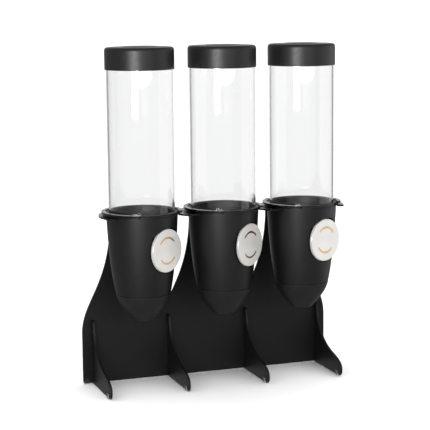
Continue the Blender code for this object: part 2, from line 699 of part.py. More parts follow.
def spindle_clip(finish_material):
    """An open washer in the hub's groove, which keeps the knob from pulling out."""
    inner = HUB_R - GROOVE_HALF + GAP
    outline = arc(0, 0, CLIP_R, -CLIP_HALF_ARC, CLIP_HALF_ARC, 14)
    outline += arc(0, 0, inner, CLIP_HALF_ARC, -CLIP_HALF_ARC, 14)
    return finish(plate([outline], CLIP_T), finish_material, smooth=False)


# ---------------------------------------------------------------- assembly

def stand():
    back_panel(material("panel_black", (0.014, 0.014, 0.015), 0.42))
    ring_shelf(material("shelf_black", (0.015, 0.015, 0.016), 0.35))
    ribs(material("rib_black", (0.014, 0.014, 0.015), 0.42))
    foot_clips(material("clip_clear", (0.85, 0.87, 0.88), 0.15, transmission=0.8))


def turn_about_z(degrees):
    return Matrix.Rotation(math.radians(degrees), 4, "Z")


def collars(holders):
    ring = collar(material("collar_black", (0.02, 0.02, 0.02), 0.3))
    on_shelf = Matrix.Translation((0, 0, SHELF_TOP + GAP + COLLAR_FOOT_T / 2))
    for side, holder, turn, collar_turn in zip(SIDES, holders, TURNS, COLLAR_TURNS):
        place(f"collar_{side}", ring, on_shelf @ turn_about_z(collar_turn - turn), holder)


def canisters():
    holders, rotors = [], []
    for side, x, turn, knob_turn in zip(SIDES, AXES_X, TURNS, KNOB_TURNS):
        holder = empty(f"canister_{side}_axis", Matrix.Translation((x, AXIS_Y, 0)) @ turn_about_z(turn))
        holders.append(holder)
        rotors.append(empty(f"rotor_{side}_axis", KNOB_FRAME @ turn_about_z(knob_turn), holder))

    place_each("hopper", hopper(material("hopper_black", (0.022, 0.022, 0.023), 0.45)), holders)
    place_each("nozzle", nozzle(material("nozzle_black", (0.022, 0.022, 0.023), 0.45)), holders)
    collars(holders)
    place_each("tube", tube(material("tube_clear", (0.95, 0.96, 0.96), 0.03, transmission=1.0)), holders)
    place_each("lid", lid(material("lid_charcoal", (0.045, 0.045, 0.047), 0.4)), holders)
    place_each("lid_seal", lid_seal(material("seal_silicone", (0.6, 0.6, 0.58), 0.6)), holders)

    chamber = metering_chamber(material("chamber_black", (0.03, 0.03, 0.03), 0.5))
    place_each("metering_chamber", chamber, holders)
    nylon = material("bush_nylon", (0.75, 0.74, 0.70), 0.4)
    place_each("front_bush", front_bush(nylon), holders, KNOB_FRAME)
    place_each("rear_bush", rear_bush(nylon), holders, KNOB_FRAME)

    place_each("knob_plate", knob_plate(material("knob_steel", (0.62, 0.61, 0.59), 0.2, 1.0)), rotors)
    place_each("knob_core", knob_core(material("core_bronze", (0.42, 0.26, 0.10), 0.4)), rotors)
    place_each("spindle", spindle(material("spindle_steel", (0.5, 0.5, 0.5), 0.3, 1.0)), rotors)
    place_each("paddle_wheel", paddle_wheel(material("wheel_rubber", (0.55, 0.55, 0.53), 0.7)), rotors)
    in_groove = Matrix.Translation((0, 0, GROOVE_MIDDLE))
    washer = spindle_clip(material("clip_steel", (0.5, 0.5, 0.5), 0.3, 1.0))
    place_each("spindle_clip", washer, rotors, in_groove)


stand()
canisters()
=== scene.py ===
"""The looks of a dry-food dispenser: three clear canisters on a black stand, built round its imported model.

Metres, +Z up, the front towards -Y. Each canister's pieces are made about the Z axis with the knob
towards -Y, and the knob's own pieces about their turning axis, then each is put where its body is.
"""

import json
import math

import bmesh
import bpy
from mathutils import Matrix, Vector


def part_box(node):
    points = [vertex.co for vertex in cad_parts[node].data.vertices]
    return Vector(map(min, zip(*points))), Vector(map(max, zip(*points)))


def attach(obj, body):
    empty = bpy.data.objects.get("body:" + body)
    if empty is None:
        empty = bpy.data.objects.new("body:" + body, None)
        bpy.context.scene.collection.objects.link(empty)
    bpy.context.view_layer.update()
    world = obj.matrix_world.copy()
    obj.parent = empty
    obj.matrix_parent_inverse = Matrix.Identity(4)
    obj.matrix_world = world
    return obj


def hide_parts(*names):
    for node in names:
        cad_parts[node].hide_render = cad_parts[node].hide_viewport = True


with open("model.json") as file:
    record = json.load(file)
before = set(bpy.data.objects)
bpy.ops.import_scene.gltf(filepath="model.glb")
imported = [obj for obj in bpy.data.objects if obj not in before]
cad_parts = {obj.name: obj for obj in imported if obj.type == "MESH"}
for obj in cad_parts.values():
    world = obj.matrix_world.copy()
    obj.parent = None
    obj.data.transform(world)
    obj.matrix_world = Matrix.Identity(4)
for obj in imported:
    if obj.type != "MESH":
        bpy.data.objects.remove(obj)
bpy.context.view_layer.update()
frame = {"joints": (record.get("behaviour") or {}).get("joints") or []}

GAP = 0.0003
SIDES = ("left", "middle", "right")
JOINTS = {joint["name"]: joint for joint in frame["joints"]}


def span(node, axis):
    low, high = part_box(node)
    return low[axis], high[axis]


def centre(node, axis):
    return sum(span(node, axis)) / 2


# Places and sizes read from the frame
AXES_X = [centre(f"tube_{side}", 0) for side in SIDES]
AXIS_Y = centre("tube_middle", 1)
SPACING = AXES_X[1] - AXES_X[0]
KNOB_Z = JOINTS["knob_middle_turn"]["pos_m"][2]
KNOB_AXES = [Vector(JOINTS[f"knob_{side}_turn"]["axis"]) for side in SIDES]
TURNS = [math.atan2(axis.x, -axis.y) for axis in KNOB_AXES]
KNOB_R = (span("knob_plate_middle", 2)[1] - span("knob_plate_middle", 2)[0]) / 2
PANEL_FRONT, PANEL_BACK = (y - AXIS_Y for y in span("back_panel", 1))
PANEL_HALF = span("back_panel", 0)[1]
PANEL_LOW, PANEL_HIGH = span("back_panel", 2)
SHELF_LOW, SHELF_HIGH = span("ring_shelf", 2)
COLLAR_LOW, COLLAR_HIGH = span("collar_middle", 2)
TUBE_LOW, TUBE_HIGH = span("tube_middle", 2)
LID_LOW, LID_HIGH = span("lid_middle", 2)
HOPPER_HIGH = span("hopper_middle", 2)[1]
OUTLET_Z, NOZZLE_HIGH = span("nozzle_middle", 2)
SEAL_LOW, SEAL_HIGH = span("lid_seal_middle", 2)
RIBS_X = [centre(f"rib_{number}", 0) for number in range(1, 5)]
RIB_LOW, RIB_HIGH = span("rib_1", 2)
RIB_REACH = PANEL_FRONT + AXIS_Y - span("rib_1", 1)[0]

# Stand, shaped as the CAD's. A curve is its Bezier's four control points, its pulls the middle two.
PANEL_OVERHANG = PANEL_HALF - SPACING
SHEET = PANEL_BACK - PANEL_FRONT
SHOULDER_Z = 0.088  # where the side edge starts to curve in towards the neck
NECK_HALF = 0.0295
NECK_Z = 0.285  # where the curve ends, at the shelf
SHOULDER_PULLS = ((PANEL_OVERHANG, 0.146), (0.031, 0.170))
VALLEY_START = 0.345  # share of the shoulder's curve that the rounded valley between necks replaces
VALLEY_PULL = 0.003
PANEL_CORNER = 0.004
FINGER_HALF = 0.015  # half the width of the finger joint between neck and shelf

LOBE_R = 0.072  # outer radius of the shelf round each canister
MOUTH_R = 0.0602  # radius of the shelf's opening
SHELF_FRONT = 0.036  # canister axes to the shelf's straight front edge
KNOB_WAY = 0.0375  # half the width that the opening leaves for the knob to pass
TIP_R = 0.004  # rounding of the shelf's tips beside an opening
END_TIP_R = 0.003  # rounding where the front edge meets the left lobe
RIGHT_TIP_R = 0.005  # rounding where the last opening meets the right lobe

RIB_T = 0.0035
RIB_NOSE = 0.0085  # reach of a rib's top edge
RIB_CHAMFER = 0.002
RIB_HOLLOW = ((RIB_NOSE + RIB_CHAMFER, RIB_HIGH - RIB_CHAMFER),
              (0.013, 0.075), (0.030, 0.047), (0.080, 0.035))
RIB_TOE = (RIB_HOLLOW[3], (0.095, 0.0314), (RIB_REACH, 0.026), (RIB_REACH, 0.013))
RIB_TIP = (RIB_TOE[3], (RIB_REACH, 0.006), (RIB_REACH - 0.003, RIB_LOW), (RIB_REACH - 0.009, RIB_LOW))
TENONS_Z = ((0.022, 0.042), (0.072, 0.092))  # each rib's two tenons through the panel

FOOT_SIZE = 0.009  # height and length of a foot clip
FOOT_WALL = 0.0012
FOOT_REACH = 0.1035  # panel's front face to the middle of a rib's foot clip
FOOT_INSET = 0.0055  # panel's side edge to the middle of its foot clip

# Canister
RIM_R = 0.0597
GROOVE_R = 0.0582
SEAM_Z = NOZZLE_HIGH + GAP  # the hopper's lower edge
SEAM_R = 0.046
SEAM_CHAMFER = (0.0008, 0.0007)  # on the nozzle's upper edge: inwards and down
OUTLET_R = 0.017
HOPPER_CURVE = ((0.0595, SHELF_HIGH), (0.0575, 0.265), (0.0545, 0.215), (SEAM_R, SEAM_Z))
HOPPER_WALL = 0.0042
HOPPER_INSET = (0.002, 0.004)  # its inner curve starts above the floor and ends under the deck by these
NOZZLE_PULLS = ((0.0435, 0.160), (0.036, 0.147))
NOZZLE_WALL = 0.0032
NOZZLE_INSET = 0.003  # its inner curve ends this far under the spigot
SPIGOT_R = 0.0396  # the hopper's lower end, inside the nozzle
SPIGOT_WALL = 0.0022
SPIGOT_Z = 0.163
SPIGOT_ROOT = 0.003  # thickness of the hopper's floor round the spigot
COLLAR_R = 0.0672
COLLAR_FOOT_R = 0.063
COLLAR_FOOT_T = 0.0032  # the narrower foot, which carries the collar's lip clear of the shelf
COLLAR_LIP_Z = SHELF_HIGH + GAP + COLLAR_FOOT_T
COLLAR_OPENING = 44.2  # degrees from the middle of the opening to the middle of each rounded tip
COLLAR_TURNS = [math.radians(turn) for turn in (23.2, 22.5, 19.2)]  # of each opening, towards +X
TUBE_R = 0.055
TUBE_WALL = 0.003
LEDGE_R = 0.0522  # the hopper's inner ledge, which the tube stands on
LEDGE_FOOT = ((0.0546, 0.284), (LEDGE_R, 0.287))  # slope that carries the ledge
LID_R = 0.0572
LID_PLAY = 0.0004
LID_RIM = LID_HIGH - 0.0012
LID_DISC = ((0.0285, LID_HIGH), (0.0296, LID_HIGH), (0.0300, LID_HIGH - 0.0006), (0.0312, LID_HIGH - 0.0007))
LID_CURVE = ((LID_R - 0.0057, LID_RIM), (LID_R - 0.0017, LID_RIM), (LID_R, 0.578), (LID_R, 0.574))
LID_SKIRT_Z = 0.570  # a point on the skirt, under the curve
SEAL_R = 0.0518

# Metering wheel and knob: distances along the knob's axis are counted outwards from the canister's axis.
# A cut's two distances are where it starts and ends.
KNOB_TURNS = [math.radians(turn) for turn in (2.0, 0.0, -8.0)]  # each knob about its own axis at rest
KNOB_FACE = 0.0550
KNOB_BACK = 0.0510
KNOB_EDGE_R = 0.0013
KNOB_FLAT_R = 0.031  # a ring of points on the flat face
KNOB_SHEET = 0.0018
KNOB_SKIRT = 0.0012
SLOT_R = 0.0214  # middle of the knob's two arc slots
SLOT_W = 0.0032
SLOT_HALF = 49.0  # degrees each side of the vertical
SLOTS = (90, 270)  # the two slots' middles, in degrees
SLOT_CUT = (0.048, 0.060)
BAR_ROOT = 0.001  # how deep the bars in the slots start in the core's disc
POCKET_R = 0.0383
POCKET_FLOOR = 0.0484
POCKET_WALL = 0.003
POCKET_END = 0.080
POCKET_LIMIT = ((0.0575, TUBE_LOW - 2 * GAP), (0.0500, 0.200))  # a cone inside the hopper's outer face
BOSS_END = 0.062
BUSH_R = 0.010
BUSH_FLANGE_R = 0.013
BUSH_FLANGE_T = 0.001
BUSH_INNER = 0.0445
BUSH_CUT = (0.040, 0.052)
HUB_R = 0.008
HUB_INNER = 0.038
HUB_CHAMFER = 0.0005
HUB_PLAY = 0.0004
HUB_TURN = math.radians(1)  # sets its facets' corners off the disc's, which a union needs
GROOVE_MIDDLE = 0.0429  # of the groove in the hub, which holds the spindle's clip
GROOVE_HALF = 0.0008  # half its width, and its depth
WASHER_R = 0.0112
WASHER_T = 0.001
WASHER_HALF_ARC = 130  # degrees of the clip's ring on each side
WASHER_TIP_R = 0.0008
SQUARE = 0.0065  # the spindle's square drive
SOCKET_START = 0.030
SPINDLE_END = 0.0485
JOURNAL_R = 0.0046
JOURNAL_INSETS = (0.0001, 0.0004)  # its ends from the barrel's end wall and from the hub
JOURNAL_CUT = (0.030, 0.045)
TAIL_R = 0.0032
TAIL_END = -0.0404
REAR_BUSH_R = 0.0049
REAR_BUSH_END = -0.0407
REAR_BOSS_R = 0.0075
REAR_BOSS_END = -0.042
REAR_BOSS_ROOT = 0.001  # how deep the boss starts in the barrel's end wall
REAR_CUT = (-0.041, -0.030)
WHEEL_R = 0.033
WHEEL_HALF = 0.0332
WHEEL_HUB_R = 0.009
PADDLES = 6
PADDLE_ROOT = 0.0014  # half the thickness at the hub
PADDLE_TIP = 0.0007  # the same at the tip, and its rounding
PADDLE_INSET = 0.0002  # the paddles' ends behind the hub's
PADDLE_TURN = 30  # degrees from the knob's +X to the first paddle
CHAMBER_R = 0.034
CHAMBER_HALF = 0.0338
CHAMBER_WALL = 0.0022
CHUTE_HALF = (0.022, 0.031)  # half width and half length of the barrel's lower opening
CHUTE_DROP = 0.020  # the opening's level below the knob's axis
DECK_LOW, DECK_HIGH = 0.2625, 0.265
DECK_R = 0.0532

# Rounding of the edges
SHEET_EASE = 0.0003
SHELF_EASE = 0.0004
FOOT_EASE = 0.0005
COLLAR_EASE = 0.0006
HOPPER_EASE = 0.0006
NOZZLE_EASE = 0.0004
TUBE_EASE = 0.0004
LID_EASE = 0.0005
SEAL_EASE = 0.0006
SPINDLE_EASE = 0.0004
BUSH_EASE = 0.0003
WASHER_EASE = 0.0001

OVERLAP = 0.0004  # of pieces that a union joins
BEYOND = 0.1  # how far a cutter reaches past everything

ROUND = 128  # facets round a canister
FINE = 64  # facets round a small turned piece
MEDIUM = 96  # facets round the pocket and the wheel's barrel
SMOOTH = 192  # facets round a clear tube

UPRIGHT = Matrix.Rotation(math.radians(90), 4, "X")
CANISTERS = [Matrix.Translation((x, AXIS_Y, 0)) @ Matrix.Rotation(turn, 4, "Z")
             for x, turn in zip(AXES_X, TURNS)]
KNOB_FRAME = Matrix.Translation((0, 0, KNOB_Z)) @ UPRIGHT
KNOBS = [canister @ KNOB_FRAME for canister in CANISTERS]
ROTORS = [knob @ Matrix.Rotation(turn, 4, "Z") for knob, turn in zip(KNOBS, KNOB_TURNS)]


# ---------------------------------------------------------------- outlines

def bezier(p0, p1, p2, p3, count, start=0.0):
    """Points on a Bezier curve from p0 to p3, or on the stretch of it after the given share."""
    points = []
    for i in range(count):
        t = start + (1 - start) * i / (count - 1)
        s = 1 - t
        shares = (s**3, 3 * s * s * t, 3 * s * t * t, t**3)
        points.append(tuple(sum(k * p[axis] for k, p in zip(shares, (p0, p1, p2, p3))) for axis in (0, 1)))
    return points


def arc(x, y, radius, start, end, count):
    """Points on an arc, angles in degrees, both ends included."""
    angles = [math.radians(start + (end - start) * i / (count - 1)) for i in range(count)]
    return [(x + radius * math.cos(a), y + radius * math.sin(a)) for a in angles]


def rounded(before, corner, after, radius, count=7):
    """The corner replaced by an arc that is tangent to both of its sides."""
    corner = Vector(corner)
    one = (Vector(before) - corner).normalized()
    two = (Vector(after) - corner).normalized()
    half = one.angle(two) / 2
    middle = corner + (one + two).normalized() * radius / math.sin(half)
    first = corner + one * radius / math.tan(half) - middle
    last = corner + two * radius / math.tan(half) - middle
    sweep = first.angle_signed(last)
    points = []
    for i in range(count):
        a = -sweep * i / (count - 1)
        points.append((middle.x + first.x * math.cos(a) - first.y * math.sin(a),
                       middle.y + first.x * math.sin(a) + first.y * math.cos(a)))
    return points


def softened(points, radius, closed=True, count=4):
    """The outline with each sharp corner rounded, as far as its sides are long enough."""
    made = []
    for i, corner in enumerate(points):
        if not closed and i in (0, len(points) - 1):
            made.append(corner)
            continue
        before, after = Vector(points[i - 1]), Vector(points[(i + 1) % len(points)])
        one, two = before - Vector(corner), after - Vector(corner)
        bend = math.pi - one.angle(two)
        reach = radius * math.tan(bend / 2)
        if bend < math.radians(25):
            made.append(corner)
            continue
        fit = min(1.0, 0.45 * min(one.length, two.length) / reach)
        made += rounded(before, corner, after, radius * fit, count)
    return made


def shifted(points, dx):
    return [(x + dx, y) for x, y in points]


def mirrored(points):
    """The points mirrored in x and taken in the other direction."""
    return [(-x, y) for x, y in reversed(points)]


# ---------------------------------------------------------------- solids

def evaluated_mesh(obj):
    """The object's mesh with its modifiers applied. The object itself is removed."""
    graph = bpy.context.evaluated_depsgraph_get()
    mesh = bpy.data.meshes.new_from_object(obj.evaluated_get(graph))
    bpy.data.objects.remove(obj)
    return mesh


def working_object(data):
    obj = bpy.data.objects.new("working", data)
    bpy.context.scene.collection.objects.link(obj)
    return obj


def from_bmesh(bm):
    mesh = bpy.data.meshes.new("working")
    bm.to_mesh(mesh)
    bm.free()
    return working_object(mesh)


def plate(outlines, thickness):
    """A flat sheet in the XY plane, centred on z = 0. Outlines after the first are holes."""
    curve = bpy.data.curves.new("outline", "CURVE")
    curve.dimensions = "2D"
    curve.fill_mode = "BOTH"
    curve.extrude = thickness / 2
    for outline in outlines:
        spline = curve.splines.new("POLY")
        spline.points.add(len(outline) - 1)
        for point, (x, y) in zip(spline.points, outline):
            point.co = (x, y, 0, 1)
        spline.use_cyclic_u = True
    mesh = evaluated_mesh(working_object(curve))
    bm = bmesh.new()
    bm.from_mesh(mesh)
    bmesh.ops.remove_doubles(bm, verts=bm.verts, dist=1e-6)
    return from_bmesh(bm)


def turned(profile, steps, closed=True):
    """A profile of (radius, z) swept round Z. It runs down the outer side and up the inner one."""
    mesh = bpy.data.meshes.new("profile")
    edges = [(i, i + 1) for i in range(len(profile) - 1)]
    if closed:
        edges.append((len(profile) - 1, 0))
    mesh.from_pydata([(r, 0, z) for r, z in profile], edges, [])
    obj = working_object(mesh)
    screw = obj.modifiers.new("Turn", "SCREW")
    screw.steps = screw.render_steps = steps
    screw.use_merge_vertices = not closed
    screw.merge_threshold = 1e-5
    return working_object(evaluated_mesh(obj))


def block(low, high):
    bm = bmesh.new()
    bmesh.ops.create_cube(bm, size=1)
    bmesh.ops.scale(bm, vec=Vector(high) - Vector(low), verts=bm.verts)
    bmesh.ops.translate(bm, vec=(Vector(low) + Vector(high)) / 2, verts=bm.verts)
    return from_bmesh(bm)


def rod(radius, low, high, steps=FINE):
    bm = bmesh.new()
    bmesh.ops.create_cone(bm, cap_ends=True, segments=steps, radius1=radius, radius2=radius, depth=high - low)
    bmesh.ops.translate(bm, vec=(0, 0, (low + high) / 2), verts=bm.verts)
    return from_bmesh(bm)


def across(obj):
    """Lays a working piece made about Z along the knob's axis, its +Z outwards."""
    obj.matrix_world = KNOB_FRAME
    return obj


def combined(obj, *steps):
    """Applies Boolean steps of (operation, other object) in turn and removes the others."""
    for operation, other in steps:
        cut = obj.modifiers.new(operation, "BOOLEAN")
        cut.operation = operation
        cut.solver = "EXACT"
        cut.object = other
        bpy.context.view_layer.update()
        matrix = obj.matrix_world.copy()
        obj = working_object(evaluated_mesh(obj))
        obj.matrix_world = matrix
        bpy.data.objects.remove(other)
    return obj


def eased(obj, width, segments=2, angle=40):
    """The piece with its sharp edges rounded by that much."""
    bevel = obj.modifiers.new("Ease", "BEVEL")
    bevel.width = width
    bevel.segments = segments
    bevel.limit_method = "ANGLE"
    bevel.angle_limit = math.radians(angle)
    matrix = obj.matrix_world.copy()
    obj = working_object(evaluated_mesh(obj))
    obj.matrix_world = matrix
    return obj


def finished(obj, material, sharp=35):
    """The working object's mesh with its material, smooth but for sharp edges, its big faces kept flat."""
    mesh = obj.data
    mesh.transform(obj.matrix_world)
    obj.matrix_world = Matrix.Identity(4)
    mesh.materials.clear()
    mesh.materials.append(material)
    mesh.shade_smooth()
    mesh.set_sharp_from_angle(angle=math.radians(sharp))
    weigh = obj.modifiers.new("Weigh", "WEIGHTED_NORMAL")
    weigh.keep_sharp = True
    weigh.weight = 90
    return evaluated_mesh(obj)


def put(name, mesh, matrix, body, slot, *nodes):
    """A piece in its place, its turn in its mesh, riding on its body and standing for its CAD nodes."""
    mesh = mesh.copy()
    mesh.transform(Matrix.Translation(-matrix.translation) @ matrix)
    piece = bpy.data.objects.new(name, mesh)
    bpy.context.scene.collection.objects.link(piece)
    piece.location = matrix.translation
    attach(piece, body)
    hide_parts(*nodes)
    return piece


def put_each(name, mesh, places, body, slot, node):
    return [put(f"{name}_{side}", mesh, place, f"{body}_{side}", slot, f"{node}_{side}")
            for side, place in zip(SIDES, places)]


# ---------------------------------------------------------------- materials

def node(tree, kind, **inputs):
    made = tree.nodes.new(kind)
    for key, value in inputs.items():
        made.inputs[key.replace("_", " ")].default_value = value
    return made


class Finish:
    """A Principled material whose colour, roughness and relief vary with noise fixed to the piece."""

    def __init__(self, name, **values):
        self.material = bpy.data.materials.new(name)
        self.material.use_nodes = True
        self.tree = self.material.node_tree
        self.shader = self.tree.nodes["Principled BSDF"]
        for key, value in values.items():
            self.shader.inputs[key.replace("_", " ")].default_value = value
        self.place = self.tree.nodes.new("ShaderNodeTexCoord").outputs["Object"]
        self.relief = None

    def link(self, output, target):
        self.tree.links.new(output, target)

    def noise(self, scale, detail=3.0, stretch=None):
        texture = node(self.tree, "ShaderNodeTexNoise", Scale=scale, Detail=detail)
        source = self.place
        if stretch:
            mapping = node(self.tree, "ShaderNodeMapping", Scale=stretch)
            self.link(source, mapping.inputs["Vector"])
            source = mapping.outputs["Vector"]
        self.link(source, texture.inputs["Vector"])
        return texture.outputs["Fac"]

    def colour(self, fac, low, high):
        ramp = self.tree.nodes.new("ShaderNodeValToRGB")
        ramp.color_ramp.elements[0].position = 0.3
        ramp.color_ramp.elements[1].position = 0.7
        ramp.color_ramp.elements[0].color = (*low, 1)
        ramp.color_ramp.elements[1].color = (*high, 1)
        self.link(fac, ramp.inputs["Fac"])
        self.link(ramp.outputs["Color"], self.shader.inputs["Base Color"])
        return self

    def roughness(self, fac, low, high):
        spread = node(self.tree, "ShaderNodeMapRange", From_Min=0.3, From_Max=0.7, To_Min=low, To_Max=high)
        self.link(fac, spread.inputs["Value"])
        self.link(spread.outputs["Result"], self.shader.inputs["Roughness"])
        return self

    def bump(self, fac, depth):
        bump = node(self.tree, "ShaderNodeBump", Strength=1.0, Distance=depth)
        self.link(fac, bump.inputs["Height"])
        if self.relief:
            self.link(self.relief, bump.inputs["Normal"])
        self.relief = bump.outputs["Normal"]
        self.link(self.relief, self.shader.inputs["Normal"])
        return self


def moulded(name, low, high, gloss, grain=1400, depth=0.00003):
    """Satin moulded plastic with a fine even grain."""
    made = Finish(name, IOR=1.47, Specular_IOR_Level=0.32)
    made.colour(made.noise(22), low, high)
    made.roughness(made.noise(160), gloss - 0.03, gloss + 0.04)
    made.bump(made.noise(grain, 2.0), depth)
    return made.material


def sheet_black(name, low, high, gloss, depth):
    """Cut sheet: very slight waviness, fine wiping marks and a little dust."""
    made = Finish(name, IOR=1.49, Specular_IOR_Level=0.3)
    made.colour(made.noise(14), low, high)
    made.roughness(made.noise(60, stretch=(1.0, 1.0, 6.0)), gloss - 0.04, gloss + 0.06)
    made.bump(made.noise(9, 1.0), 0.00012)
    made.bump(made.noise(900), depth)
    return made.material


def clear(name, tint, gloss, depth, density):
    """Clear plastic that darkens with the length of the way through it, so its edges show."""
    made = Finish(name, Transmission_Weight=1.0, IOR=1.49)
    made.colour(made.noise(6), tint, tuple(min(1.0, c + 0.006) for c in tint))
    murk = node(made.tree, "ShaderNodeVolumeAbsorption", Color=(0, 0, 0, 1), Density=density)
    made.link(murk.outputs["Volume"], made.tree.nodes["Material Output"].inputs["Volume"])
    made.roughness(made.noise(40), gloss, gloss + 0.015)
    made.bump(made.noise(18, 1.0, stretch=(1.0, 1.0, 0.25)), depth)
    return made.material


def spun_steel(name, low, high, gloss):
    """Satin metal with fine rings about the piece's own middle."""
    made = Finish(name, Metallic=0.3)
    radial = made.tree.nodes.new("ShaderNodeVectorMath")
    radial.operation = "LENGTH"
    made.link(made.place, radial.inputs[0])
    rings = node(made.tree, "ShaderNodeTexNoise", Scale=3200.0, Detail=2.0)
    rings.noise_dimensions = "1D"
    made.link(radial.outputs["Value"], rings.inputs["W"])
    made.colour(made.noise(35), low, high)
    made.roughness(rings.outputs["Fac"], gloss - 0.04, gloss + 0.06)
    made.bump(rings.outputs["Fac"], 0.000008)
    return made.material


def drawn_steel(name, tone, gloss):
    """Bare metal with fine marks along the piece's own Z axis."""
    made = Finish(name, Metallic=1.0)
    made.colour(made.noise(60), tuple(0.85 * c for c in tone), tone)
    made.roughness(made.noise(300, stretch=(1.0, 1.0, 0.05)), gloss - 0.05, gloss + 0.08)
    made.bump(made.noise(500, stretch=(1.0, 1.0, 0.05)), 0.00001)
    return made.material


PANEL_BLACK = sheet_black("panel_black", (0.0042, 0.004, 0.0038), (0.0056, 0.0053, 0.005), 0.40, 0.00001)
SHELF_BLACK = sheet_black("shelf_black", (0.0035, 0.0035, 0.0037), (0.0046, 0.0046, 0.0049), 0.24, 0.000006)
RIB_BLACK = sheet_black("rib_black", (0.0050, 0.0048, 0.0046), (0.0066, 0.0063, 0.006), 0.40, 0.00001)
COLLAR_BLACK = sheet_black("collar_black", (0.0035, 0.0035, 0.0037), (0.0046, 0.0046, 0.0049), 0.20, 0.000006)
HOPPER_BLACK = moulded("hopper_black", (0.006, 0.006, 0.0062), (0.0075, 0.0075, 0.0077), 0.43)
NOZZLE_BLACK = moulded("nozzle_black", (0.0085, 0.0085, 0.0087), (0.0105, 0.0105, 0.0107), 0.45)
CHAMBER_BLACK = moulded("chamber_black", (0.012, 0.012, 0.012), (0.018, 0.018, 0.018), 0.5)
LID_CHARCOAL = moulded("lid_charcoal", (0.0108, 0.0108, 0.0113), (0.0128, 0.0128, 0.0133), 0.40,
                       grain=1700, depth=0.00002)
SEAL_SILICONE = moulded("seal_silicone", (0.50, 0.50, 0.48), (0.60, 0.60, 0.58), 0.6, grain=900)
BUSH_NYLON = moulded("bush_nylon", (0.68, 0.67, 0.62), (0.78, 0.77, 0.72), 0.4, grain=900)
WHEEL_RUBBER = moulded("wheel_rubber", (0.40, 0.40, 0.385), (0.50, 0.50, 0.48), 0.65,
                       grain=700, depth=0.00005)
TUBE_CLEAR = clear("tube_clear", (0.99, 0.992, 0.992), 0.012, depth=0.00003, density=8)
CLIP_CLEAR = clear("clip_clear", (0.93, 0.94, 0.945), 0.10, depth=0.00002, density=15)
KNOB_STEEL = spun_steel("knob_steel", (0.585, 0.57, 0.545), (0.645, 0.635, 0.615), 0.32)
SPINDLE_STEEL = drawn_steel("spindle_steel", (0.62, 0.61, 0.60), 0.30)
CLIP_STEEL = drawn_steel("clip_steel", (0.55, 0.54, 0.53), 0.35)
CORE_BRONZE = drawn_steel("core_bronze", (0.74, 0.45, 0.22), 0.22)


# ---------------------------------------------------------------- stand

def shoulder(start=0.0, count=40):
    """Half of a neck's outline as (half width, z), from the shoulder up."""
    return bezier((PANEL_OVERHANG, SHOULDER_Z), *SHOULDER_PULLS, (NECK_HALF, NECK_Z), count, start)


def valley(flank):
    """The rounded bottom between two necks, seen from the left one's axis."""
    last, before = Vector(flank[0]), Vector(flank[1])
    on = last + (last - before).normalized() * VALLEY_PULL
    return bezier(last, on, (SPACING - on.x, on.y), (SPACING - last.x, last.y), 12)[1:-1]


def panel_outline():
    neck_top = SHELF_LOW - GAP
    head = [(-NECK_HALF, neck_top), (-FINGER_HALF, neck_top), (-FINGER_HALF, PANEL_HIGH)]
    head += mirrored(head)
    outer, inner = shoulder(), shoulder(VALLEY_START, 28)
    outline = []
    for number, x in enumerate(AXES_X):
        rise = outer if number == 0 else inner
        fall = outer if number == 2 else inner
        outline += shifted([(-w, z) for w, z in rise], x) + shifted(head, x)
        outline += shifted(list(reversed(fall)), x)
        if number < 2:
            outline += shifted(valley(inner), x)
    corner_x, corner_z = PANEL_HALF - PANEL_CORNER, PANEL_LOW + PANEL_CORNER
    outline += arc(corner_x, corner_z, PANEL_CORNER, 0, -90, 8)
    outline += arc(-corner_x, corner_z, PANEL_CORNER, -90, -180, 8)
    return outline


def back_panel():
    slot = RIB_T / 2 + GAP
    holes = [[(x - slot, low - GAP), (x + slot, low - GAP), (x + slot, high + GAP), (x - slot, high + GAP)]
             for x in RIBS_X for low, high in TENONS_Z]
    mesh = finished(eased(plate([panel_outline()] + holes, SHEET), SHEET_EASE), PANEL_BLACK)
    place = Matrix.Translation((0, AXIS_Y + PANEL_FRONT + SHEET / 2, 0)) @ UPRIGHT
    put("panel_sheet", mesh, place, "stand", "panel_black", "back_panel")


def shelf_mouth(turn):
    """The edge of one canister's opening, from the shelf's front edge round to the knob's side."""
    left = Vector((-math.sqrt((MOUTH_R + TIP_R) ** 2 - (SHELF_FRONT - TIP_R) ** 2), TIP_R - SHELF_FRONT))
    toward_axis = math.degrees(math.atan2(-left.y, -left.x))
    end = math.degrees(math.asin(KNOB_WAY / MOUTH_R) + turn) - 90
    tip = arc(left.x, left.y, TIP_R, -90, toward_axis, 12)[:-1]
    return tip + arc(0, 0, MOUTH_R, 180 + toward_axis, end, 90)


def shelf_tip(start, turn):
    """The rounded tip on the knob's side of an opening, where a bridge to the next one begins."""
    corner = (start[0] + (start[1] + SHELF_FRONT) * math.tan(turn), -SHELF_FRONT)
    return rounded(start, corner, (corner[0] + 1, corner[1]), TIP_R)


def shelf_right_end(start, turn):
    """The last opening's tip and the round end beyond it, up to the back of the bridges' level."""
    start, outwards = Vector(start), Vector((math.sin(turn), -math.cos(turn)))
    along = start.dot(outwards)
    corner = start + outwards * (math.sqrt(along**2 - start.length_squared + LOBE_R**2) - along)
    angle = math.degrees(math.atan2(corner.y, corner.x))
    edge = math.degrees(math.asin(SHELF_FRONT / LOBE_R))
    beyond = arc(0, 0, LOBE_R, angle, edge, 40)
    return rounded(start, corner, beyond[2], RIGHT_TIP_R) + beyond[9:-1]


def shelf_left_end():
    """The round end beyond the first opening, from the back of the bridges' level to the front edge."""
    edge = math.degrees(math.asin(SHELF_FRONT / LOBE_R))
    round_end = arc(0, 0, LOBE_R, 180 - edge, 180 + edge, 36)
    corner = round_end[-1]
    return round_end[1:-3] + rounded(round_end[-3], corner, (0, corner[1]), END_TIP_R)


